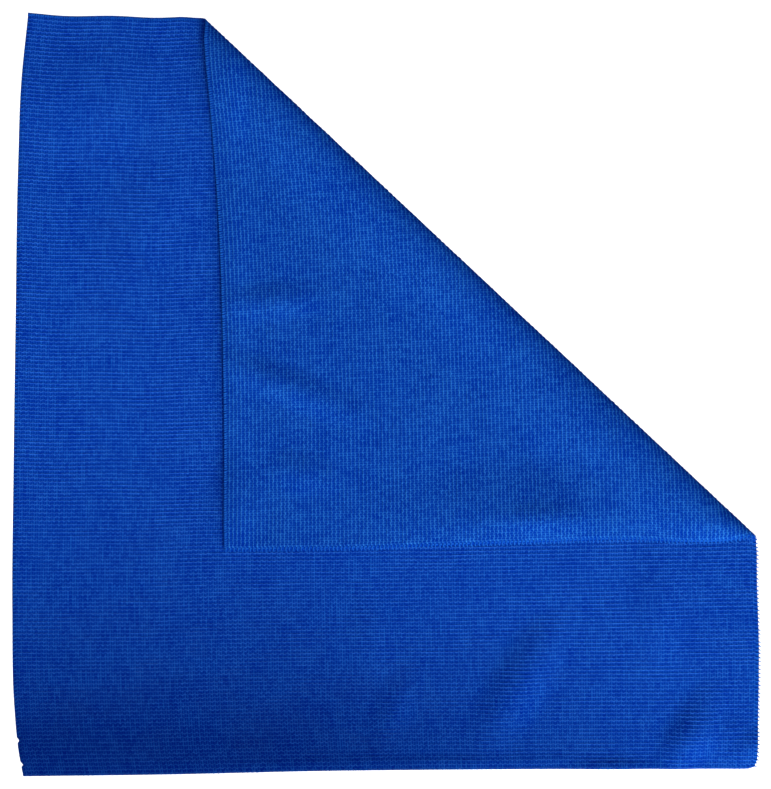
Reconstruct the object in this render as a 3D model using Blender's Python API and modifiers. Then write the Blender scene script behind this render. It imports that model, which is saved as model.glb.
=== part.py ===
"""Microfibre cloth: a knitted square lying flat, with one corner folded back over it.

Units are metres. +X runs along the knitted rows, +Y across them and +Z up. The origin
is at the middle of the cloth's outline, on the surface that the cloth lies on.
"""

import math
from collections import namedtuple

import bmesh
import bpy
import numpy as np

# The sheet and how it lies
THICKNESS = 0.0015
LAYER_GAP = 0.0008  # air between the two layers where the flap has come to rest
CELLS = 40  # squares of the flat sheet along each side

# Corners of the flat sheet, before its top right corner is folded over
BOTTOM_LEFT = (-0.1947, -0.2052)
BOTTOM_RIGHT = (0.1995, -0.2012)
TOP_RIGHT = (0.1902, 0.2114)
TOP_LEFT = (-0.1920, 0.2052)

# How far each side stands out from the straight line between its corners, or, below
# zero, falls short of it. "along" is a share of the side, from left or from the bottom.
Bow = namedtuple("Bow", "along out")
BOTTOM_SIDE = (
    Bow(0.00, 0.0),
    Bow(0.20, -0.0002),
    Bow(0.40, -0.0012),
    Bow(0.60, -0.0012),
    Bow(0.80, -0.0008),
    Bow(1.00, 0.0),
)
TOP_SIDE = (
    Bow(0.00, 0.0),
    Bow(0.05, -0.0020),
    Bow(0.12, -0.0024),
    Bow(0.18, -0.0038),
    Bow(0.25, -0.0030),
    Bow(0.40, -0.0044),
    Bow(0.56, -0.0056),
    Bow(0.80, -0.0036),
    Bow(1.00, 0.0),
)
LEFT_SIDE = (
    Bow(0.00, 0.0),
    Bow(0.03, 0.0024),
    Bow(0.09, 0.0050),
    Bow(0.22, 0.0065),
    Bow(0.40, 0.0063),
    Bow(0.60, 0.0057),
    Bow(0.80, 0.0049),
    Bow(0.92, 0.0030),
    Bow(1.00, 0.0),
)
RIGHT_SIDE = (
    Bow(0.00, 0.0),
    Bow(0.04, 0.0009),
    Bow(0.15, 0.0026),
    Bow(0.29, 0.0030),
    Bow(0.36, 0.0058),
    Bow(0.40, 0.0054),
    Bow(0.46, 0.0034),
    Bow(0.60, 0.0024),
    Bow(0.80, 0.0020),
    Bow(1.00, 0.0),
)

# The fold is straight, between two points of the folded outline.
FOLD_START = (-0.0969, 0.2011)
FOLD_END = (0.1995, -0.0771)

# How far the sheet has turned at each distance along it from the fold's tip. It lies flat
# at 0 degrees, stands upright at the tip, is over at the crown at 180, and from there
# slopes down until it lies flat again.
Turn = namedtuple("Turn", "arc degrees")
FOLD_TURNS = (
    Turn(-0.0070, 0.0),
    Turn(-0.0034, 12.0),
    Turn(-0.0018, 38.0),
    Turn(0.0000, 90.0),
    Turn(0.0020, 140.0),
    Turn(0.0042, 153.0),
    Turn(0.0066, 164.0),
    Turn(0.0092, 172.0),
    Turn(0.0130, 180.0),
    Turn(0.0170, 186.0),
    Turn(0.0230, 190.0),
    Turn(0.0310, 190.0),
    Turn(0.0420, 184.0),
    Turn(0.0540, 180.0),
)
CROWN = 0.0130
BEND_STEP = math.radians(15)  # turn of the sheet between two lines of its mesh
SETTLE_LINES = 5  # lines from the crown to where the flap lies flat
SNAP = 0.0002  # a corner of the mesh this near such a line counts as on it

# Along the right side of the sheet the flap's edge droops onto the lower layer.
DROOP_WIDTH = 0.013
DROOP_SHARE = 0.85

# Soft ridges, each an oval swelling. "x" and "y" are its middle once the cloth is folded,
# "heading" is the direction of its long axis, and "height" is how far it lifts the sheet.
Ridge = namedtuple("Ridge", "layer x y heading length width height")
RIDGES = (
    Ridge("base", 0.071, -0.157, 59, 0.055, 0.019, 0.0036),
    Ridge("base", 0.004, -0.170, 68, 0.030, 0.012, 0.0017),
    Ridge("base", -0.008, -0.130, 104, 0.030, 0.014, 0.0014),
    Ridge("base", 0.164, -0.182, 60, 0.038, 0.016, 0.0030),
    Ridge("base", 0.174, -0.186, 8, 0.034, 0.018, 0.0014),
    Ridge("base", 0.202, -0.187, 30, 0.030, 0.011, 0.0015),
    Ridge("base", 0.146, -0.118, 96, 0.042, 0.018, 0.0017),
    Ridge("base", -0.120, 0.110, 62, 0.090, 0.030, 0.0008),
    Ridge("base", -0.155, 0.160, 0, 0.080, 0.045, 0.0022),
    Ridge("base", -0.083, 0.060, 91, 0.160, 0.013, 0.0015),
    Ridge("base", -0.088, 0.160, 92, 0.050, 0.016, 0.0016),
    Ridge("base", -0.081, -0.060, 90, 0.034, 0.019, 0.0022),
    Ridge("flap", -0.062, 0.050, 4, 0.040, 0.013, 0.0014),
    Ridge("flap", -0.052, 0.004, -22, 0.060, 0.013, 0.0017),
    Ridge("flap", -0.045, -0.042, -12, 0.026, 0.014, 0.0012),
    Ridge("flap", 0.100, -0.022, -43, 0.075, 0.026, 0.0018),
    Ridge("flap", 0.085, -0.064, 2, 0.120, 0.034, 0.0024),
)

BLUE = (0.004, 0.054, 0.40, 1.0)
ROUGHNESS = 0.9


def smooth_table(rows, where):
    """A curve through a table of rows, with the slope at each row of its neighbours."""
    along = np.array([row[0] for row in rows])
    out = np.array([row[1] for row in rows])
    slope = np.gradient(out, along)
    cell = np.clip(np.searchsorted(along, where, side="right") - 1, 0, len(rows) - 2)
    step = along[cell + 1] - along[cell]
    q = (where - along[cell]) / step
    start = (1 + 2 * q) * (1 - q) ** 2 * out[cell] + q * (1 - q) ** 2 * step * slope[cell]
    end = q**2 * (3 - 2 * q) * out[cell + 1] - q**2 * (1 - q) * step * slope[cell + 1]
    return start + end


def flat_sheet(u, v):
    """Points of the flat sheet, for u across it and v up it, each from 0 to 1.

    The four corners are blended, and each side's bow fades away towards the side opposite.
    """
    x = (1 - u) * (1 - v) * BOTTOM_LEFT[0] + u * (1 - v) * BOTTOM_RIGHT[0]
    x += (1 - u) * v * TOP_LEFT[0] + u * v * TOP_RIGHT[0]
    y = (1 - u) * (1 - v) * BOTTOM_LEFT[1] + u * (1 - v) * BOTTOM_RIGHT[1]
    y += (1 - u) * v * TOP_LEFT[1] + u * v * TOP_RIGHT[1]
    x += u * smooth_table(RIGHT_SIDE, v) - (1 - u) * smooth_table(LEFT_SIDE, v)
    y += v * smooth_table(TOP_SIDE, u) - (1 - v) * smooth_table(BOTTOM_SIDE, u)
    return np.stack([x, y], axis=1)


def fold_section():
    """The sheet's middle across the fold, as arrays of arc, turn, inset and height.

    The slope down from the crown is steepened or eased until the sheet comes to rest one
    sheet and the gap above the lower layer.
    """
    arc = np.linspace(FOLD_TURNS[0].arc, FOLD_TURNS[-1].arc, 4001)
    turn = np.radians(smooth_table(FOLD_TURNS, arc))
    height = THICKNESS / 2 + running_sum(np.sin(turn), arc)
    crown = np.interp(CROWN, arc, height)
    drop = (crown - 1.5 * THICKNESS - LAYER_GAP) / (crown - height[-1])
    turn = np.where(arc > CROWN, math.pi + (turn - math.pi) * drop, turn)
    height = THICKNESS / 2 + running_sum(np.sin(turn), arc)
    run = running_sum(np.cos(turn), arc)
    return arc, turn, run.max() - run, height


def running_sum(rate, along):
    """The integral of rate, by trapeziums, from the first point to each."""
    slices = (rate[1:] + rate[:-1]) / 2 * np.diff(along)
    return np.concatenate([[0], np.cumsum(slices)])


def fold_directions():
    """Unit vectors along the fold and square to it, out of the cloth."""
    along = np.subtract(FOLD_END, FOLD_START)
    along /= np.linalg.norm(along)
    return along, np.array([-along[1], along[0]])


def tip_in_flat_sheet(arc, inset):
    """How far past the straight fold line the fold's tip lies once the sheet is flat."""
    return -inset[0] - arc[0]


def bend_lines(arc, turn):
    """Arcs at which the mesh has a line, close together where the sheet bends most."""
    bent = arc <= CROWN
    turns = np.arange(BEND_STEP / 2, math.pi, BEND_STEP)
    around = np.interp(turns, turn[bent], arc[bent])
    after = np.linspace(CROWN, arc[-1], SETTLE_LINES)
    return np.concatenate([[arc[0]], around, after])


def swell(layer, x, y):
    """The height that one layer's ridges add at each point, each a bell in two directions."""
    height = np.zeros(len(x))
    for ridge in RIDGES:
        if ridge.layer != layer:
            continue
        heading = math.radians(ridge.heading)
        along = (x - ridge.x) * math.cos(heading) + (y - ridge.y) * math.sin(heading)
        across = (y - ridge.y) * math.cos(heading) - (x - ridge.x) * math.sin(heading)
        reach = np.hypot(along / ridge.length, across / ridge.width)
        height += ridge.height * np.cos(math.pi / 2 * np.clip(reach, 0, 1)) ** 2
    return height


def folded(points, from_right_side):
    """Flat points carried round the fold, then raised by ridges, then let droop at the edge."""
    arc, _, inset, height = fold_section()
    along, outward = fold_directions()
    past_line = (points - FOLD_START) @ outward
    run = (points - FOLD_START) @ along
    at = past_line - tip_in_flat_sheet(arc, inset)
    beyond = np.clip(at - arc[-1], 0, None)
    before = np.clip(arc[0] - at, 0, None)
    inwards = np.interp(at, arc, inset) + beyond + before
    z = np.interp(at, arc, height)

    place = np.array(FOLD_START) + np.outer(run, along) - np.outer(inwards, outward)
    upper = np.clip(at / CROWN, 0, 1)
    z += swell("base", *place.T) + upper * swell("flap", *place.T)
    droop = np.clip(1 - from_right_side / DROOP_WIDTH, 0, 1) ** 2 * DROOP_SHARE * upper
    z -= droop * np.clip(z - height[-1], 0, None)
    return np.column_stack([place, z])


def sheet_mesh():
    """The middle of the folded sheet, as one open mesh with lines along its fold."""
    arc, turn, inset, _ = fold_section()
    _, outward = fold_directions()
    mesh = bmesh.new()
    bmesh.ops.create_grid(mesh, x_segments=CELLS, y_segments=CELLS, size=0.5)
    grid = np.array([vertex.co for vertex in mesh.verts]) + 0.5
    flat = flat_sheet(grid[:, 0], grid[:, 1])
    for vertex, (x, y) in zip(mesh.verts, flat):
        vertex.co = (x, y, 0)
    for line in bend_lines(arc, turn) + tip_in_flat_sheet(arc, inset):
        point = np.array(FOLD_START) + line * outward
        bmesh.ops.bisect_plane(
            mesh,
            geom=mesh.verts[:] + mesh.edges[:] + mesh.faces[:],
            dist=SNAP,
            plane_co=(*point, 0),
            plane_no=(*outward, 0),
        )
    bmesh.ops.triangulate(mesh, faces=mesh.faces[:])

    flat = np.array([vertex.co[:2] for vertex in mesh.verts])
    right = np.interp(flat[:, 1], *right_side_line())
    for vertex, place in zip(mesh.verts, folded(flat, right - flat[:, 0])):
        vertex.co = place
    data = bpy.data.meshes.new("cloth")
    mesh.to_mesh(data)
    mesh.free()
    data.shade_smooth()
    return data


def right_side_line():
    """Heights up the flat sheet's right side, and where the side is at each."""
    v = np.linspace(0, 1, 60)
    side = flat_sheet(np.ones(60), v)
    return side[:, 1], side[:, 0]


def knit_material():
    """Matt blue knit."""
    material = bpy.data.materials.new("blue_knit")
    material.use_nodes = True
    shader = material.node_tree.nodes["Principled BSDF"]
    shader.inputs["Base Color"].default_value = BLUE
    shader.inputs["Roughness"].default_value = ROUGHNESS
    material.diffuse_color = BLUE
    return material


def add_cloth(collection):
    """The whole cloth, its middle sheet thickened evenly to both sides."""
    cloth = bpy.data.objects.new("cloth", sheet_mesh())
    collection.objects.link(cloth)
    cloth.data.materials.append(knit_material())
    shell = cloth.modifiers.new("thickness", "SOLIDIFY")
    shell.thickness = THICKNESS
    shell.offset = 0
    shell.use_even_offset = True


def main():
    for old in list(bpy.data.objects):
        bpy.data.objects.remove(old)
    collection = bpy.data.collections.new("microfibre_cloth")
    bpy.context.scene.collection.children.link(collection)
    add_cloth(collection)


main()
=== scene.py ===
"""Blue microfibre cloth: a knitted square that lies flat, with one corner folded back over it.

Units are metres. The knitted rows run along X, the wales along Y, and the cloth lies on Z = 0.
Every shape is worked out on the flat sheet, as a share u across it, a share v up it and a
lift off its middle, and is then carried round the fold.
"""

import math
from collections import namedtuple

import bpy
import numpy as np
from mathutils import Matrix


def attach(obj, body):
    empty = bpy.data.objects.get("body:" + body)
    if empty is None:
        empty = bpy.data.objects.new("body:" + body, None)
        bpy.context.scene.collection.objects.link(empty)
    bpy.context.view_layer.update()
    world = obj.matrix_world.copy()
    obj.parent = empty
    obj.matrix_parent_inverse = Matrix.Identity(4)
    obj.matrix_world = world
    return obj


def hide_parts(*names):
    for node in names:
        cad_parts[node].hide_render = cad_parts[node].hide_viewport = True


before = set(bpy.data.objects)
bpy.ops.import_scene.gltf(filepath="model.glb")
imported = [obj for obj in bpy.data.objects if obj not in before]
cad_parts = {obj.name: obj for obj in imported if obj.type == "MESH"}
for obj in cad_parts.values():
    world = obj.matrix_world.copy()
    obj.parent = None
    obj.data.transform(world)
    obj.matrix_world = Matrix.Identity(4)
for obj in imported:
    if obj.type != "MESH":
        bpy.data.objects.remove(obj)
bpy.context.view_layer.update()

# The sheet and how it lies, as in the cloth's solid
THICKNESS = 0.0015
LAYER_GAP = 0.0008  # air between the two layers where the flap has come to rest
FLAT_WIDTH = 0.396
FLAT_HEIGHT = 0.408

# Corners of the flat sheet, before its top right corner is folded over
BOTTOM_LEFT = (-0.1947, -0.2052)
BOTTOM_RIGHT = (0.1995, -0.2012)
TOP_RIGHT = (0.1902, 0.2114)
TOP_LEFT = (-0.1920, 0.2052)

# How far each side stands out from the straight line between its corners, or, below
# zero, falls short of it. "along" is a share of the side, from left or from the bottom.
Bow = namedtuple("Bow", "along out")
BOTTOM_SIDE = (
    Bow(0.00, 0.0),
    Bow(0.20, -0.0002),
    Bow(0.40, -0.0012),
    Bow(0.60, -0.0012),
    Bow(0.80, -0.0008),
    Bow(1.00, 0.0),
)
TOP_SIDE = (
    Bow(0.00, 0.0),
    Bow(0.05, -0.0020),
    Bow(0.12, -0.0024),
    Bow(0.18, -0.0038),
    Bow(0.25, -0.0030),
    Bow(0.40, -0.0044),
    Bow(0.56, -0.0056),
    Bow(0.80, -0.0036),
    Bow(1.00, 0.0),
)
LEFT_SIDE = (
    Bow(0.00, 0.0),
    Bow(0.03, 0.0024),
    Bow(0.09, 0.0050),
    Bow(0.22, 0.0065),
    Bow(0.40, 0.0063),
    Bow(0.60, 0.0057),
    Bow(0.80, 0.0049),
    Bow(0.92, 0.0030),
    Bow(1.00, 0.0),
)
RIGHT_SIDE = (
    Bow(0.00, 0.0),
    Bow(0.04, 0.0009),
    Bow(0.15, 0.0026),
    Bow(0.29, 0.0030),
    Bow(0.36, 0.0058),
    Bow(0.40, 0.0054),
    Bow(0.46, 0.0034),
    Bow(0.60, 0.0024),
    Bow(0.80, 0.0020),
    Bow(1.00, 0.0),
)

# Small places where the edge is drawn in. "u" and "v" are the middle of each on the flat
# sheet, "wide" and "tall" how far it reaches from there, and "right" and "up" its shift.
Pull = namedtuple("Pull", "u v wide tall right up")
PULLS = (
    Pull(1.0, 0.0, 0.0055, 0.0055, -0.0011, 0.0011),
    Pull(1.0, 0.305, 0.0120, 0.0120, -0.0011, 0.0),
    Pull(0.249, 1.0, 0.0160, 0.0160, 0.0, -0.0014),
    Pull(0.0, 0.0156, 0.0060, 0.0016, 0.0011, 0.0),
    Pull(0.0, 0.0470, 0.0060, 0.0018, 0.0010, 0.0),
)

# The fold is straight, between two points of the folded outline.
FOLD_START = (-0.0969, 0.2011)
FOLD_END = (0.1995, -0.0771)

# How far the sheet has turned at each distance along it from the fold's tip. It lies flat
# at 0 degrees, stands upright at the tip, is over at the crown at 180, and from there
# slopes down until it lies flat again.
Turn = namedtuple("Turn", "arc degrees")
FOLD_TURNS = (
    Turn(-0.0070, 0.0),
    Turn(-0.0034, 12.0),
    Turn(-0.0018, 38.0),
    Turn(0.0000, 90.0),
    Turn(0.0020, 140.0),
    Turn(0.0042, 153.0),
    Turn(0.0066, 164.0),
    Turn(0.0092, 172.0),
    Turn(0.0130, 180.0),
    Turn(0.0170, 186.0),
    Turn(0.0230, 190.0),
    Turn(0.0310, 190.0),
    Turn(0.0420, 184.0),
    Turn(0.0540, 180.0),
)
CROWN = 0.0130

# Along the right side of the sheet the flap's edge droops onto the lower layer.
DROOP_WIDTH = 0.013
DROOP_SHARE = 0.85

# Soft ridges, each an oval swelling. "x" and "y" are its middle once the cloth is folded,
# "heading" is the direction of its long axis, and "height" is how far it lifts the sheet.
Ridge = namedtuple("Ridge", "layer x y heading length width height")
RIDGES = (
    Ridge("base", 0.071, -0.157, 59, 0.055, 0.019, 0.0036),
    Ridge("base", 0.004, -0.170, 68, 0.030, 0.012, 0.0017),
    Ridge("base", -0.008, -0.130, 104, 0.030, 0.014, 0.0014),
    Ridge("base", 0.164, -0.182, 60, 0.038, 0.016, 0.0030),
    Ridge("base", 0.174, -0.186, 8, 0.034, 0.018, 0.0014),
    Ridge("base", 0.202, -0.187, 30, 0.030, 0.011, 0.0015),
    Ridge("base", 0.146, -0.118, 96, 0.042, 0.018, 0.0017),
    Ridge("base", -0.120, 0.110, 62, 0.090, 0.030, 0.0008),
    Ridge("base", -0.155, 0.160, 0, 0.080, 0.045, 0.0022),
    Ridge("base", 0.010, -0.1975, 0.8, 0.200, 0.0045, 0.0006),
    Ridge("base", 0.122, -0.2002, 0.6, 0.036, 0.0054, 0.0016),
    Ridge("base", -0.083, 0.060, 91, 0.160, 0.013, 0.0015),
    Ridge("base", -0.088, 0.160, 92, 0.050, 0.016, 0.0016),
    Ridge("base", -0.081, -0.060, 90, 0.034, 0.019, 0.0022),
    Ridge("flap", -0.062, 0.050, 4, 0.040, 0.013, 0.0014),
    Ridge("flap", -0.052, 0.004, -22, 0.060, 0.013, 0.0017),
    Ridge("flap", -0.045, -0.042, -12, 0.026, 0.014, 0.0012),
    Ridge("flap", 0.100, -0.022, -43, 0.075, 0.026, 0.0018),
    Ridge("flap", 0.085, -0.064, 2, 0.120, 0.034, 0.0024),
    Ridge("flap", 0.083, -0.066, 0, 0.034, 0.011, 0.0012),
)

# The knit
ROWS = 195
WALES = 302
ROW = FLAT_HEIGHT / ROWS
WALE = FLAT_WIDTH / WALES
CORE_HALF = 0.00042  # half the sheet's thickness between two rows
CREST = 0.00064  # height of a row's crest over the sheet's middle
SUNK = 0.00008  # how deep a row's foot lies in the sheet
ROW_WIDTH = 0.00135
FACE_SWING = 0.00034  # how far a row swings up and down from wale to wale
REVERSE_SWING = 0.00024
SWING_JITTER = 0.00008
ROW_DRIFT = 0.00022  # how far a row strays slowly from straight
STITCH_SLACK = 0.00010  # how much lower the slackest stitch's crest is
PATCH_SLACK = 0.00006  # the same for a slack patch, which goes on to twice this
RUN_ROWS = 5.0  # rows over which a wale's yarn keeps its tone
CORE_CELLS = 180
NICKED_PART = 0.06  # share of the sheet's height, from the bottom, that has finer cells
RIM = 0.0003  # how far the rounded rim stands out from the two faces

# The overlocked edge. "reach" is how far the stitches run in from it, "slip" how far they
# run along it as they do, "width" that of a stitch, and "tooth" how far its loop stands
# out from the edge.
Hem = namedtuple("Hem", "side stitches reach slip width tooth")
HEMS = (
    Hem("left", ROWS, 0.0018, 0.0003, 0.0012, 0.0),
    Hem("right", ROWS, 0.0022, 0.0008, 0.0012, 0.0011),
    Hem("bottom", WALES // 2, 0.0011, 0.0003, 0.0013, 0.0),
    Hem("top", WALES, 0.0016, 0.0002, 0.0014, 0.0),
)
PIN_RADIUS = 0.00042  # bend of a stitch round the edge
BEND_SHARE = 0.3  # share of a stitch's length that lies in that bend
SET_IN = 0.0002  # how far the bend's middle is set in from the rim's foot
STITCH_JITTER = 0.00015
THREAD_HALF = 0.00018
POINTED = 0.002  # length at which a tooth would end in a point
ROWS_END = 0.7  # share of a hem's reach at which the rows end under its stitches
SEED = 7


def smooth_table(rows, where):
    """A curve through a table of rows, with the slope at each row of its neighbours."""
    along = np.array([row[0] for row in rows])
    out = np.array([row[1] for row in rows])
    slope = np.gradient(out, along)
    cell = np.clip(np.searchsorted(along, where, side="right") - 1, 0, len(rows) - 2)
    step = along[cell + 1] - along[cell]
    q = (where - along[cell]) / step
    start = (1 + 2 * q) * (1 - q) ** 2 * out[cell] + q * (1 - q) ** 2 * step * slope[cell]
    end = q**2 * (3 - 2 * q) * out[cell + 1] - q**2 * (1 - q) * step * slope[cell + 1]
    return start + end


def flat_sheet(u, v):
    """Points of the flat sheet, for u across it and v up it, each from 0 to 1.

    The four corners are blended, and each side's bow fades away towards the side opposite.
    Each pull then shifts the points around it by a bell in two directions.
    """
    x = (1 - u) * (1 - v) * BOTTOM_LEFT[0] + u * (1 - v) * BOTTOM_RIGHT[0]
    x += (1 - u) * v * TOP_LEFT[0] + u * v * TOP_RIGHT[0]
    y = (1 - u) * (1 - v) * BOTTOM_LEFT[1] + u * (1 - v) * BOTTOM_RIGHT[1]
    y += (1 - u) * v * TOP_LEFT[1] + u * v * TOP_RIGHT[1]
    x += u * smooth_table(RIGHT_SIDE, v) - (1 - u) * smooth_table(LEFT_SIDE, v)
    y += v * smooth_table(TOP_SIDE, u) - (1 - v) * smooth_table(BOTTOM_SIDE, u)
    for pull in PULLS:
        across = (u - pull.u) * FLAT_WIDTH / pull.wide
        up = (v - pull.v) * FLAT_HEIGHT / pull.tall
        share = np.cos(math.pi / 2 * np.clip(np.hypot(across, up), 0, 1)) ** 2
        x += share * pull.right
        y += share * pull.up
    return np.stack([x, y], axis=-1)


def running_sum(rate, along):
    """The integral of rate, by trapeziums, from the first point to each."""
    slices = (rate[1:] + rate[:-1]) / 2 * np.diff(along)
    return np.concatenate([[0], np.cumsum(slices)])


def fold_section():
    """The sheet's middle across the fold, as arrays of arc, inset and height.

    The slope down from the crown is steepened or eased until the sheet comes to rest one
    sheet and the gap above the lower layer.
    """
    arc = np.linspace(FOLD_TURNS[0].arc, FOLD_TURNS[-1].arc, 4001)
    turn = np.radians(smooth_table(FOLD_TURNS, arc))
    height = THICKNESS / 2 + running_sum(np.sin(turn), arc)
    crown = np.interp(CROWN, arc, height)
    drop = (crown - 1.5 * THICKNESS - LAYER_GAP) / (crown - height[-1])
    turn = np.where(arc > CROWN, math.pi + (turn - math.pi) * drop, turn)
    height = THICKNESS / 2 + running_sum(np.sin(turn), arc)
    run = running_sum(np.cos(turn), arc)
    return arc, run.max() - run, height


def fold_directions():
    """Unit vectors along the fold and square to it, out of the cloth."""
    along = np.subtract(FOLD_END, FOLD_START)
    along /= np.linalg.norm(along)
    return along, np.array([-along[1], along[0]])


def swell(layer, x, y):
    """The height that one layer's ridges add at each point, each a bell in two directions."""
    height = np.zeros(x.shape)
    for ridge in RIDGES:
        if ridge.layer != layer:
            continue
        heading = math.radians(ridge.heading)
        along = (x - ridge.x) * math.cos(heading) + (y - ridge.y) * math.sin(heading)
        across = (y - ridge.y) * math.cos(heading) - (x - ridge.x) * math.sin(heading)
        reach = np.hypot(along / ridge.length, across / ridge.width)
        height += ridge.height * np.cos(math.pi / 2 * np.clip(reach, 0, 1)) ** 2
    return height


SECTION = fold_section()


def middle(u, v):
    """The folded sheet's middle: its flat points carried round the fold, then raised by ridges.

    A point past the fold line goes up and over by the fold's section, and one near the
    sheet's right side droops towards the height at which the flap rests.
    """
    arc, inset, height = SECTION
    along, outward = fold_directions()
    flat = flat_sheet(u, v)
    run = (flat - FOLD_START) @ along
    at = (flat - FOLD_START) @ outward + inset[0] + arc[0]
    beyond = np.clip(at - arc[-1], 0, None)
    before = np.clip(arc[0] - at, 0, None)
    inwards = np.interp(at, arc, inset) + beyond + before
    z = np.interp(at, arc, height)

    place = FOLD_START + run[..., None] * along - inwards[..., None] * outward
    x = place[..., 0]
    y = place[..., 1]
    upper = np.clip(at / CROWN, 0, 1)
    z += swell("base", x, y) + upper * swell("flap", x, y)

    from_right_side = flat_sheet(np.ones(u.shape), v)[..., 0] - flat[..., 0]
    droop = np.clip(1 - from_right_side / DROOP_WIDTH, 0, 1) ** 2 * DROOP_SHARE * upper
    z -= droop * np.clip(z - height[-1], 0, None)
    return np.stack([x, y, z], axis=-1)


def sheet_points(u, v, lift):
    """Points at a height off the sheet's middle, along the cross product of its two slopes."""
    u, v, lift = np.broadcast_arrays(u, v, lift)
    step = 1e-4
    across = middle(u + step, v) - middle(u - step, v)
    up = middle(u, v + step) - middle(u, v - step)
    normal = np.cross(across, up)
    normal /= np.linalg.norm(normal, axis=-1, keepdims=True)
    return middle(u, v) + lift[..., None] * normal


def soft_noise(random, shape, cells):
    """Values from -1 to 1 that vary smoothly over a grid, blended between random corners."""
    corners = random.uniform(-1, 1, (cells[0] + 1, cells[1] + 1))
    steps = []
    for count, parts in zip(shape, cells):
        at = np.linspace(0, parts, count)
        cell = np.minimum(at.astype(int), parts - 1)
        q = at - cell
        steps.append((cell, q * q * (3 - 2 * q)))
    (i, p), (j, q) = steps
    p = p[:, None]
    low = (1 - p) * corners[np.ix_(i, j)] + p * corners[np.ix_(i + 1, j)]
    high = (1 - p) * corners[np.ix_(i, j + 1)] + p * corners[np.ix_(i + 1, j + 1)]
    return (1 - q) * low + q * high


def new_piece(name, points, faces, maps, material):
    """An object at the origin from points, faces and its UV maps, given per face corner."""
    mesh = bpy.data.meshes.new(name)
    mesh.from_pydata(points.reshape(-1, 3).tolist(), [], faces)
    for label, corners in maps.items():
        layer = mesh.uv_layers.new(name=label)
        layer.uv.foreach_set("vector", np.asarray(corners, np.float32).ravel())
    mesh.shade_smooth()
    mesh.materials.append(material)
    piece = bpy.data.objects.new(name, mesh)
    bpy.context.scene.collection.objects.link(piece)
    return piece


def core_piece(material):
    """The sheet between its rows: two grids, CORE_HALF off the middle, joined by a round rim.

    Its triangles' long sides run along the fold, so that they follow its bend.
    """
    even = np.linspace(0, 1, CORE_CELLS + 1)
    fine = np.linspace(0, NICKED_PART, CORE_CELLS // 5)
    u, v = np.meshgrid(even, np.union1d(fine, even[even > NICKED_PART]))
    inner_u = RIM / FLAT_WIDTH + (1 - 2 * RIM / FLAT_WIDTH) * u
    inner_v = RIM / FLAT_HEIGHT + (1 - 2 * RIM / FLAT_HEIGHT) * v
    index = np.arange(u.size).reshape(u.shape)
    loop = np.concatenate([index[0, :-1], index[:-1, -1], index[-1, :0:-1], index[:0:-1, 0]])
    front = sheet_points(inner_u, inner_v, CORE_HALF).reshape(-1, 3)
    back = sheet_points(inner_u, inner_v, -CORE_HALF).reshape(-1, 3)
    edge = middle(u.ravel()[loop], v.ravel()[loop])
    points = np.concatenate([front, back, edge])

    a, b = index[:-1, :-1], index[:-1, 1:]
    c, d = index[1:, 1:], index[1:, :-1]
    faces_up = np.concatenate([
        np.stack([a, b, d], axis=-1).reshape(-1, 3),
        np.stack([b, c, d], axis=-1).reshape(-1, 3),
    ])
    faces_down = faces_up[:, ::-1] + len(front)
    after = np.roll(loop, -1)
    rim = 2 * len(front) + np.arange(len(loop))
    rim_after = np.roll(rim, -1)
    upper_rim = np.stack([loop, rim, rim_after, after], axis=1)
    lower_rim = np.stack([rim, loop + len(front), after + len(front), rim_after], axis=1)
    faces = faces_up.tolist() + faces_down.tolist() + upper_rim.tolist() + lower_rim.tolist()

    knit = np.stack([u * FLAT_WIDTH, v * FLAT_HEIGHT], axis=-1).reshape(-1, 2)
    knit = np.concatenate([knit, knit, knit[loop]])
    flat_corners = np.concatenate([faces_up.ravel(), faces_down.ravel()])
    corners = np.concatenate([flat_corners, upper_rim.ravel(), lower_rim.ravel()])
    baked_front = np.stack([0.002 + 0.494 * u, 0.002 + 0.976 * v], axis=-1).reshape(-1, 2)
    baked_back = baked_front + (0.5, 0)
    baked = np.concatenate([baked_front, baked_back])
    place = np.arange(len(loop)) / len(loop)
    strips = []
    for low, high in ((0.990, 0.985), (0.998, 0.993)):
        strips.append(np.stack([
            np.stack([place + step / len(loop), np.full(len(loop), level)], axis=-1)
            for step, level in ((0, low), (0, high), (1, high), (1, low))
        ], axis=1).reshape(-1, 2))
    maps = {
        "knit": knit[corners],
        "OFBake": np.concatenate([baked[flat_corners], *strips]),
    }
    return new_piece("knitted_sheet", points, faces, maps, material)


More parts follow.
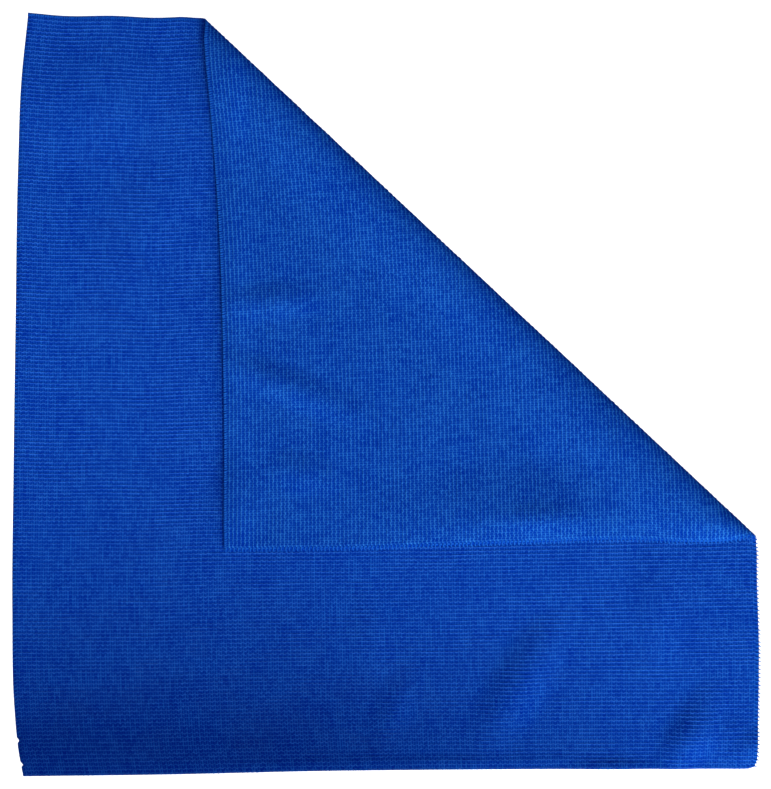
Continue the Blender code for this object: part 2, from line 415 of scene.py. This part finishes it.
def ribbons(name, points, knit, levels, material):
    """Closed profiles carried along paths, with capped ends, as one piece.

    points and knit have the shape (paths, stations, corners of the profile, ...). levels
    shares out each path's strip of the bake between the sides of its profile.
    """
    paths, stations, sides = points.shape[:3]
    index = np.arange(paths * stations * sides).reshape(paths, stations, sides)
    here = index[:, :-1]
    there = index[:, 1:]
    quads = np.stack([
        here,
        there,
        np.roll(there, -1, axis=2),
        np.roll(here, -1, axis=2),
    ], axis=-1).reshape(-1, 4)
    caps = np.concatenate([index[:, 0], index[:, -1, ::-1]])

    path = np.arange(paths)[:, None, None]
    station = np.arange(stations - 1)[None, :, None]
    low = np.array(levels[:-1])[None, None, :]
    high = np.array(levels[1:])[None, None, :]
    from_left = 0.004 + 0.992 * station / (stations - 1) + 0 * (path + low)
    to_right = 0.004 + 0.992 * (station + 1) / (stations - 1) + 0 * (path + low)
    bottom = (path + low) / paths + 0 * station
    top = (path + high) / paths + 0 * station
    baked = np.stack([
        np.stack([from_left, bottom], axis=-1),
        np.stack([to_right, bottom], axis=-1),
        np.stack([to_right, top], axis=-1),
        np.stack([from_left, top], axis=-1),
    ], axis=-2).reshape(-1, 2)
    around = 2 * np.pi * np.arange(sides) / sides
    ring = np.stack([0.0018 * np.cos(around), 0.3 / paths * np.sin(around)], axis=-1)
    middles = (np.arange(paths) + 0.5) / paths
    start = np.stack([0.002 + 0 * middles, middles], axis=-1)[:, None] + ring
    end = np.stack([0.998 + 0 * middles, middles], axis=-1)[:, None] + ring
    baked_caps = np.concatenate([start, end]).reshape(-1, 2)

    corners = np.concatenate([quads.ravel(), caps.ravel()])
    maps = {
        "knit": knit.reshape(-1, 2)[corners],
        "OFBake": np.concatenate([baked, baked_caps]),
    }
    return new_piece(name, points, quads.tolist() + caps.tolist(), maps, material)


def row_piece(name, rows, front, random, material):
    """Knitted rows, each a three-cornered ridge that swings up and down from wale to wale.

    A row's crest stands CREST off the sheet's middle, a little less in a slack stitch, and
    its two feet are sunk in the sheet.
    """
    hems = {hem.side: hem for hem in HEMS}
    start = ROWS_END * hems["left"].reach / FLAT_WIDTH
    end = 1 - ROWS_END * hems["right"].reach / FLAT_WIDTH
    u = np.linspace(start, end, WALES + 1)[None, :]
    row = (rows[:, None] + 0.5) / ROWS
    shape = (len(rows), WALES + 1)

    swing = np.where(np.arange(WALES + 1) % 2, 1.0, -1.0)
    swing = swing * (FACE_SWING if front else REVERSE_SWING)
    swing = swing * (1 + 0.4 * soft_noise(random, shape, (40, 60)))
    swing += SWING_JITTER * random.uniform(-1, 1, shape)
    drift = ROW_DRIFT * soft_noise(random, shape, (30, 14))
    v = row + (swing + drift) / FLAT_HEIGHT
    slack = STITCH_SLACK * random.uniform(0, 1, shape)
    slack += PATCH_SLACK * (1 + soft_noise(random, shape, (50, 30)))
    crest = CREST - slack
    half = ROW_WIDTH / 2 / FLAT_HEIGHT
    foot = CORE_HALF - SUNK

    side = 1 if front else -1
    across = np.stack([v - half, v, v + half], axis=-1)
    lift = side * np.stack([foot + 0 * v, crest, foot + 0 * v], axis=-1)
    points = sheet_points(u[..., None], across, lift)
    knit = np.stack([
        np.broadcast_to(u[..., None], across.shape) * FLAT_WIDTH,
        np.broadcast_to((row + 0 * u)[..., None], across.shape) * FLAT_HEIGHT
        + ROW_WIDTH / 2 * np.array([-1, 0, 1]),
    ], axis=-1)
    if not front:
        points, knit = points[:, :, ::-1], knit[:, :, ::-1]
    return ribbons(name, points, knit, (0.02, 0.45, 0.88, 0.96), material)


def hem_place(side, along, inwards):
    """u and v of a place near one side, from a share along it and a distance in from it."""
    if side == "left":
        return inwards / FLAT_WIDTH, along
    if side == "right":
        return 1 - inwards / FLAT_WIDTH, along
    if side == "bottom":
        return along, inwards / FLAT_HEIGHT
    return along, 1 - inwards / FLAT_HEIGHT


def stitch_piece(hem, random, material):
    """One side's overlock stitches, each an oval thread bent like a hairpin round the edge.

    From the rim the thread runs in along both faces, slips a little along the edge as it
    goes, and sinks into the sheet at its ends. A tooth narrows towards its tip.
    """
    along_edge = FLAT_HEIGHT if hem.side in ("left", "right") else FLAT_WIDTH
    count = hem.stitches
    at = np.linspace(-1, 1, 9)[None, :, None]
    bend = np.clip(at / BEND_SHARE, -1, 1) * math.pi / 2
    run_in = np.clip(np.abs(at) - BEND_SHARE, 0, None) / (1 - BEND_SHARE)
    around = 2 * math.pi * np.arange(6)[None, None, :] / 6

    reach = hem.reach * (1 + 0.12 * random.uniform(-1, 1, (count, 1, 1)))
    stand = PIN_RADIUS * (1 + 0.10 * random.uniform(-1, 0, (count, 1, 1)))
    width = hem.width / 2 * (1 + 0.15 * random.uniform(-1, 1, (count, 1, 1)))
    middle_of = (np.arange(count)[:, None, None] + 0.5) / count
    jitter = STITCH_JITTER * random.uniform(-1, 1, (count, 1, 1))

    out = np.cos(bend)
    rise = np.sin(bend)
    thick = THREAD_HALF * (1 - 0.5 * run_in**3)
    sink = 1 - 0.35 * run_in**2
    inwards = RIM + SET_IN - (stand + hem.tooth) * out + reach * run_in
    inwards = inwards - thick * out * np.cos(around)
    lift = stand * rise * sink + thick * rise * np.cos(around)
    taper = sink * (1 - hem.tooth / POINTED * out)
    slip = jitter - hem.slip * (run_in + out) + width * taper * np.sin(around)
    along = middle_of + slip / along_edge
    along, inwards, lift = np.broadcast_arrays(along, inwards, lift)
    u, v = hem_place(hem.side, along, inwards)
    points = sheet_points(u, v, lift)
    knit = np.stack([
        (middle_of + at + 1) * hem.reach + 0 * around,
        0 * middle_of + width * np.sin(around) + 0 * at,
    ], axis=-1)
    if hem.side in ("right", "bottom"):
        points, knit = points[:, :, ::-1], knit[:, :, ::-1]
    levels = np.linspace(0.04, 0.96, 7)
    return ribbons("overlock_" + hem.side, points, knit, tuple(levels), material)


# Materials

# The spread from DEEP_BLUE to the lights is partly the yarn's own tone and partly painted light:
# the deep end stands for painted shade in the valleys and at the rows' feet, and FACE_LIGHT and
# REVERSE_LIGHT for a painted sheen on the rows' crests.
DEEP_BLUE = (0.0, 0.022, 0.29, 1.0)
MID_BLUE = (0.002, 0.054, 0.40, 1.0)
LIGHT_BLUE = (0.015, 0.145, 0.56, 1.0)
FACE_LIGHT = (0.022, 0.134, 0.57, 1.0)
REVERSE_LIGHT = (0.022, 0.165, 0.56, 1.0)
PATCH_SCALE = 45.0  # soft patches of tone to the metre
FIBRE_SCALE = 2600.0


def add_node(tree, kind, **settings):
    node = tree.nodes.new(kind)
    for name, value in settings.items():
        setattr(node, name, value)
    return node


def plug(tree, value, socket):
    """Feeds a socket from another socket, or sets it to a number or colour."""
    if isinstance(value, bpy.types.NodeSocket):
        tree.links.new(value, socket)
    else:
        socket.default_value = value


def maths(tree, operation, *values):
    node = add_node(tree, "ShaderNodeMath", operation=operation)
    for value, socket in zip(values, node.inputs):
        plug(tree, value, socket)
    return node.outputs[0]


def mix_colours(tree, share, first, second):
    node = add_node(tree, "ShaderNodeMix", data_type="RGBA")
    plug(tree, share, node.inputs[0])
    plug(tree, first, node.inputs[6])
    plug(tree, second, node.inputs[7])
    return node.outputs[2]


def noise_value(tree, place, scale, detail):
    node = add_node(tree, "ShaderNodeTexNoise")
    plug(tree, place, node.inputs["Vector"])
    plug(tree, scale, node.inputs["Scale"])
    plug(tree, detail, node.inputs["Detail"])
    return node.outputs[0]


def new_group(name, inputs, outputs):
    """A shader node group with named sockets, each given as (name, kind, default)."""
    tree = bpy.data.node_groups.new(name, "ShaderNodeTree")
    for label, kind, default in inputs:
        socket = tree.interface.new_socket(label, in_out="INPUT", socket_type=kind)
        if default is not None:
            socket.default_value = default
    for label, kind in outputs:
        tree.interface.new_socket(label, in_out="OUTPUT", socket_type=kind)
    return tree, add_node(tree, "NodeGroupInput").outputs, add_node(tree, "NodeGroupOutput").inputs


def white_noise(tree, value, seed):
    node = add_node(tree, "ShaderNodeTexWhiteNoise", noise_dimensions="2D")
    place = add_node(tree, "ShaderNodeCombineXYZ")
    plug(tree, value, place.inputs["X"])
    plug(tree, seed, place.inputs["Y"])
    tree.links.new(place.outputs[0], node.inputs["Vector"])
    return node.outputs["Value"]


def stitch_group():
    """Where a place is in its stitch, and random values for its stitch and its wale.

    Place is in metres, wales along X and rows along Y. Crest is 1 along a row's middle and
    0 half way to the next. Strand is 1 along a wale's middle. Run tone stays the same for a
    few rows of one wale.
    """
    tree, given, made = new_group(
        "knit_stitches",
        [
            ("Place", "NodeSocketVector", None),
            ("Wale", "NodeSocketFloat", WALE),
            ("Row", "NodeSocketFloat", ROW),
        ],
        [
            ("Crest", "NodeSocketFloat"),
            ("Strand", "NodeSocketFloat"),
            ("Stitch tone", "NodeSocketFloat"),
            ("Run tone", "NodeSocketFloat"),
        ],
    )
    split = add_node(tree, "ShaderNodeSeparateXYZ")
    tree.links.new(given["Place"], split.inputs[0])
    wale = maths(tree, "DIVIDE", split.outputs["X"], given["Wale"])
    row = maths(tree, "DIVIDE", split.outputs["Y"], given["Row"])
    for place, label in ((row, "Crest"), (wale, "Strand")):
        share = maths(tree, "FRACT", place)
        off = maths(tree, "ABSOLUTE", maths(tree, "MULTIPLY_ADD", share, 2.0, -1.0))
        tree.links.new(maths(tree, "SUBTRACT", 1.0, off), made[label])
    wale_number = maths(tree, "FLOOR", wale)
    row_number = maths(tree, "FLOOR", row)
    tree.links.new(white_noise(tree, wale_number, row_number), made["Stitch tone"])
    start = maths(tree, "MULTIPLY", white_noise(tree, wale_number, 0.25), RUN_ROWS)
    run = maths(tree, "DIVIDE", maths(tree, "ADD", row, start), RUN_ROWS)
    run_number = maths(tree, "FLOOR", run)
    tree.links.new(white_noise(tree, wale_number, run_number), made["Run tone"])
    return tree


def tone_group():
    """Blue yarn: Tone takes it from Deep to Light, moved by soft patches and by single fibres.
    Where a crest or valley sets the tone, Light is partly a painted sheen and Deep partly painted
    shade.
    """
    tree, given, made = new_group(
        "blue_yarn",
        [
            ("Place", "NodeSocketVector", None),
            ("Tone", "NodeSocketFloat", 0.5),
            ("Deep", "NodeSocketColor", DEEP_BLUE),
            ("Light", "NodeSocketColor", LIGHT_BLUE),
            ("Patches", "NodeSocketFloat", 0.25),
            ("Fibres", "NodeSocketFloat", 0.3),
            ("Fibre height", "NodeSocketFloat", 0.00006),
        ],
        [
            ("Color", "NodeSocketColor"),
            ("Roughness", "NodeSocketFloat"),
            ("Normal", "NodeSocketVector"),
        ],
    )
    patches = maths(tree, "SUBTRACT", noise_value(tree, given["Place"], PATCH_SCALE, 3.0), 0.5)
    fibre_lump = noise_value(tree, given["Place"], FIBRE_SCALE, 2.0)
    fibres = maths(tree, "SUBTRACT", fibre_lump, 0.5)
    tone = maths(tree, "MULTIPLY_ADD", patches, given["Patches"], given["Tone"])
    tone = maths(tree, "MULTIPLY_ADD", fibres, given["Fibres"], tone)
    clamp = add_node(tree, "ShaderNodeClamp")
    tree.links.new(tone, clamp.inputs[0])
    colour = mix_colours(tree, clamp.outputs[0], given["Deep"], given["Light"])
    tree.links.new(colour, made["Color"])
    tree.links.new(maths(tree, "MULTIPLY_ADD", fibre_lump, 0.15, 0.8), made["Roughness"])
    bump = add_node(tree, "ShaderNodeBump")
    tree.links.new(fibre_lump, bump.inputs["Height"])
    tree.links.new(given["Fibre height"], bump.inputs["Distance"])
    tree.links.new(bump.outputs[0], made["Normal"])
    return tree


def use_group(tree, group, values):
    node = add_node(tree, "ShaderNodeGroup", node_tree=group)
    for label, value in values.items():
        plug(tree, value, node.inputs[label])
    return node.outputs


def weighted(tree, start, *terms):
    """start plus each value times its weight."""
    total = start
    for value, weight in terms:
        total = maths(tree, "MULTIPLY_ADD", value, weight, total)
    return total


def yarn_material(name, groups, tone_of, light):
    """Matt microfibre. tone_of gives its tone, 0 deep and 1 light, from the stitch's values; on
    the rows and the ground that tone also holds painted shade and a painted sheen.
    """
    material = bpy.data.materials.new(name)
    material.use_nodes = True
    tree = material.node_tree
    shader = tree.nodes["Principled BSDF"]
    place = add_node(tree, "ShaderNodeUVMap", uv_map="knit").outputs[0]
    solid_place = add_node(tree, "ShaderNodeTexCoord").outputs["Object"]
    stitch = use_group(tree, groups["stitches"], {"Place": place})
    values = {"Place": solid_place, "Tone": tone_of(tree, stitch), "Light": light}
    yarn = use_group(tree, groups["yarn"], values)
    tree.links.new(yarn["Color"], shader.inputs["Base Color"])
    tree.links.new(yarn["Roughness"], shader.inputs["Roughness"])
    tree.links.new(yarn["Normal"], shader.inputs["Normal"])
    shader.inputs["Sheen Weight"].default_value = 0.05
    shader.inputs["Sheen Roughness"].default_value = 0.5
    shader.inputs["Sheen Tint"].default_value = (0.0, 0.3, 1.0, 1.0)
    shader.inputs["Specular IOR Level"].default_value = 0.0
    material.diffuse_color = MID_BLUE
    return material


def ground_tone_and_painted_shade(tree, stitch):
    """Deep between the wales, with a light strand along each, lighter along some runs. The ground
    lies in the valleys between the rows, and its deep colour is partly painted shade there.
    """
    run = maths(tree, "MULTIPLY", stitch["Strand"], stitch["Run tone"])
    spot = maths(tree, "MULTIPLY", stitch["Strand"], stitch["Stitch tone"])
    return weighted(tree, -0.08, (stitch["Strand"], 0.16), (run, 0.34), (spot, 0.36))


def face_tone_and_painted_sheen(tree, stitch):
    """Light along the row's narrow crest, lightest where a wale crosses it. The crest's light is
    partly the yarn's own and partly a painted sheen, and the deep feet are partly painted shade.
    """
    # the crest term paints a sheen along the row's top that fades to painted shade at its feet
    crest = maths(tree, "POWER", stitch["Crest"], 3.0)
    bead = maths(tree, "MULTIPLY", crest, stitch["Strand"])
    return weighted(tree, -0.08, (crest, 0.58), (bead, 0.30), (stitch["Stitch tone"], 0.40))


def reverse_tone_and_painted_sheen(tree, stitch):
    """A chain of light beads along the crest, one to a wale, with deeper gaps between them. The
    crest's lighter band is partly a painted sheen, and its deep feet are partly painted shade.
    """
    # the crest term paints a sheen along the row's top and painted shade towards its feet
    crest = maths(tree, "MULTIPLY", stitch["Crest"], stitch["Crest"])
    bead = maths(tree, "MULTIPLY", crest, stitch["Strand"])
    return weighted(tree, -0.18, (crest, 0.45), (bead, 0.60), (stitch["Stitch tone"], 0.50))


def thread_tone(tree, stitch):
    """An even thread, each stitch a little different."""
    return weighted(tree, 0.1, (stitch["Stitch tone"], 0.4), (stitch["Strand"], 0.2))


# Floor, light and camera


def plain_floor():
    """White floor, which the camera sees brighter than it lights the cloth."""
    material = bpy.data.materials.new("white_floor")
    material.use_nodes = True
    tree = material.node_tree
    shader = tree.nodes["Principled BSDF"]
    seen = add_node(tree, "ShaderNodeLightPath").outputs["Is Camera Ray"]
    colour = mix_colours(tree, seen, (0.30, 0.30, 0.30, 1.0), (0.94, 0.94, 0.94, 1.0))
    tree.links.new(colour, shader.inputs["Base Color"])
    tree.links.new(seen, shader.inputs["Emission Strength"])
    shader.inputs["Roughness"].default_value = 0.8
    shader.inputs["Emission Color"].default_value = (1.0, 1.0, 1.0, 1.0)
    half = 3.0
    corners = [(-half, -half, 0), (half, -half, 0), (half, half, 0), (-half, half, 0)]
    mesh = bpy.data.meshes.new("floor")
    mesh.from_pydata(corners, [], [(0, 1, 2, 3)])
    mesh.materials.append(material)
    floor = bpy.data.objects.new("floor", mesh)
    bpy.context.scene.collection.objects.link(floor)


def side_flag():
    """A dark card held up beyond the cloth's lower left, out of view, that shades that corner."""
    near = -0.36
    outline = ((-0.60, 0.062), (0.20, 0.062), (0.17, 0.078), (0.0, 0.118), (-0.60, 0.120))
    corners = [(x, near, z) for x, z in outline]
    mesh = bpy.data.meshes.new("flag")
    mesh.from_pydata(corners, [], [range(len(corners))])
    material = bpy.data.materials.new("black_card")
    material.use_nodes = True
    shader = material.node_tree.nodes["Principled BSDF"]
    shader.inputs["Base Color"].default_value = (0.01, 0.01, 0.01, 1.0)
    mesh.materials.append(material)
    flag = bpy.data.objects.new("flag", mesh)
    flag.visible_camera = False
    bpy.context.scene.collection.objects.link(flag)


def soft_light(name, azimuth, elevation, distance, size, power, colour):
    """A square soft light that looks at the cloth's middle. Angles are in degrees."""
    data = bpy.data.lights.new(name, "AREA")
    data.size = size
    data.energy = power
    data.color = colour
    light = bpy.data.objects.new(name, data)
    turn = math.radians(azimuth)
    tilt = math.radians(elevation)
    light.location = (
        distance * math.cos(tilt) * math.cos(turn),
        distance * math.cos(tilt) * math.sin(turn),
        distance * math.sin(tilt),
    )
    light.rotation_euler = light.location.to_track_quat("Z", "Y").to_euler()
    light.visible_camera = False
    bpy.context.scene.collection.objects.link(light)


def studio():
    world = bpy.data.worlds.new("soft_room")
    world.use_nodes = True
    surround = world.node_tree.nodes["Background"]
    surround.inputs["Color"].default_value = (0.5, 0.70, 1.0, 1.0)
    surround.inputs["Strength"].default_value = 0.235
    bpy.context.scene.world = world
    white = (1.0, 1.0, 0.92)
    sky = (0.5, 0.66, 1.0)
    soft_light("key", azimuth=-76, elevation=25, distance=5.0, size=1.3, power=368, colour=white)
    soft_light("side", azimuth=-45, elevation=20, distance=5.0, size=1.6, power=100, colour=white)
    soft_light("overhead", azimuth=0, elevation=90, distance=1.8, size=1.2, power=7, colour=sky)
    bpy.context.scene.view_settings.view_transform = "Standard"


def overhead_camera():
    """Straight above the cloth, its view a little wider and higher than the outline."""
    data = bpy.data.cameras.new("camera")
    data.lens = 85
    data.sensor_width = 36
    view_height = 0.4237
    camera = bpy.data.objects.new("camera", data)
    camera.location = (0, 0, THICKNESS + view_height * data.lens / data.sensor_width)
    bpy.context.scene.collection.objects.link(camera)
    bpy.context.scene.camera = camera


def build_cloth():
    random = np.random.default_rng(SEED)
    groups = {"stitches": stitch_group(), "yarn": tone_group()}
    ground = yarn_material("knit_ground", groups, ground_tone_and_painted_shade, LIGHT_BLUE)
    face = yarn_material("knit_face", groups, face_tone_and_painted_sheen, FACE_LIGHT)
    reverse = yarn_material("knit_reverse", groups, reverse_tone_and_painted_sheen, REVERSE_LIGHT)
    thread = yarn_material("overlock_thread", groups, thread_tone, LIGHT_BLUE)

    cloth = core_piece(ground)
    half_way = ROWS // 2
    last = ROWS - 1  # this row would lie under the top hem, and is left out
    halves = {"lower": np.arange(half_way), "upper": np.arange(half_way, last)}
    pieces = []
    for side, material in (("face", face), ("reverse", reverse)):
        for part, rows in halves.items():
            name = f"rows_{side}_{part}"
            pieces.append(row_piece(name, rows, side == "face", random, material))
    for hem in HEMS:
        pieces.append(stitch_piece(hem, random, thread))

    for piece in [cloth, *pieces]:
        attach(piece, "root")
    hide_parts("cloth")


build_cloth()
plain_floor()
side_flag()
studio()
overhead_camera()
